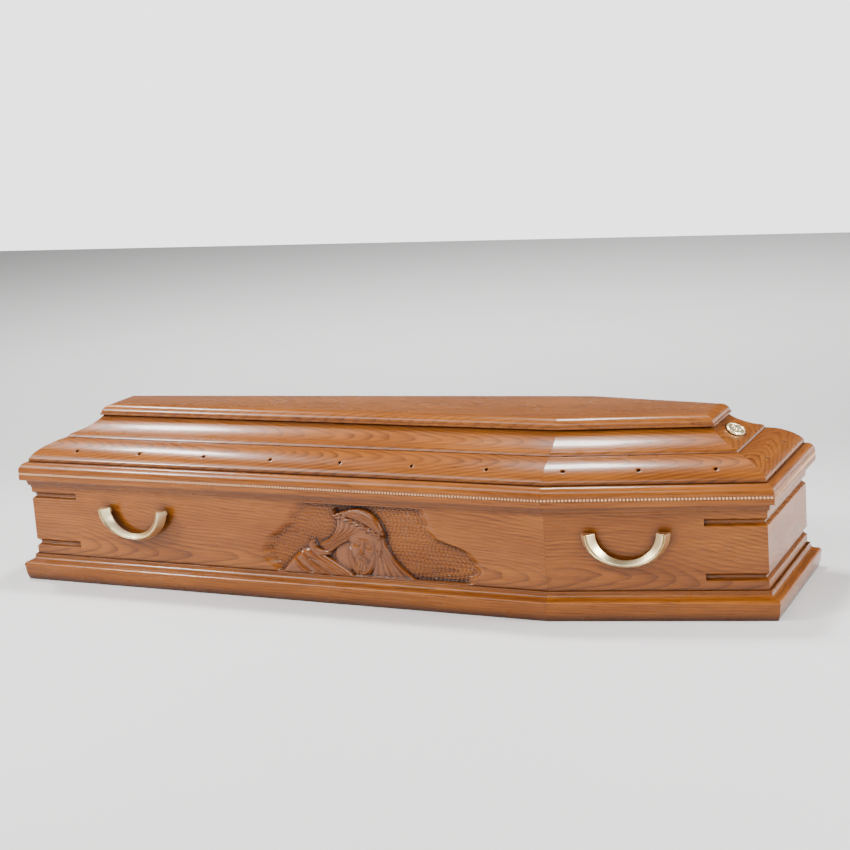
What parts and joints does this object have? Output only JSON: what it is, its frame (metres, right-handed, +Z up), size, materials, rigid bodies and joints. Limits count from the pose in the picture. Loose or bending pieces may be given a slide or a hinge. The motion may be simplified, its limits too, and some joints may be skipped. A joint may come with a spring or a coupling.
{
  "type": "wooden coffin",
  "caption": "Shouldered wooden coffin on a plinth, with a moulded lift-off lid, a carved devotional head on its side and fixed brass handles.",
  "frame": {"origin": "middle of the underside", "axes": "+X towards the head end, -Y towards the carved side, +Z up"},
  "size_m": [1.998, 0.6502, 0.4347],
  "materials": {
    "oak": "oak stained honey brown, satin lacquer",
    "pale_wood": "pale wood, satin",
    "brass": "pale polished brass"
  },
  "bodies": {
    "root": {"bottom_board": "oak", "case_side_near_long": "oak", "case_side_near_short": "oak", "case_head_end": "oak", "case_side_far_short": "oak", "case_side_far_long": "oak", "case_foot_end": "oak", "plinth_near_long": "oak", "plinth_near_short": "oak", "plinth_head": "oak", "plinth_far_short": "oak", "plinth_far_long": "oak", "plinth_foot": "oak", "lid_rail_near_long": "oak", "lid_rail_near_short": "oak", "lid_rail_head": "oak", "lid_rail_far_short": "oak", "lid_rail_far_long": "oak", "lid_rail_foot": "oak", "lid_bead_near_long": "pale_wood", "lid_bead_near_short": "pale_wood", "lid_bead_head": "pale_wood", "lid_bead_far_short": "pale_wood", "lid_bead_far_long": "pale_wood", "lid_bead_foot": "pale_wood", "lid_ogee_near_long": "oak", "lid_ogee_near_short": "oak", "lid_ogee_head": "oak", "lid_ogee_far_short": "oak", "lid_ogee_far_long": "oak", "lid_ogee_foot": "oak", "lid_cove_near_long": "oak", "lid_cove_near_short": "oak", "lid_cove_head": "oak", "lid_cove_far_short": "oak", "lid_cove_far_long": "oak", "lid_cove_foot": "oak", "lid_top_board": "oak", "handle_near_long": "brass", "handle_near_short": "brass", "handle_far_short": "brass", "handle_far_long": "brass", "rosette_head": "brass"}
  },
  "joints": []
}
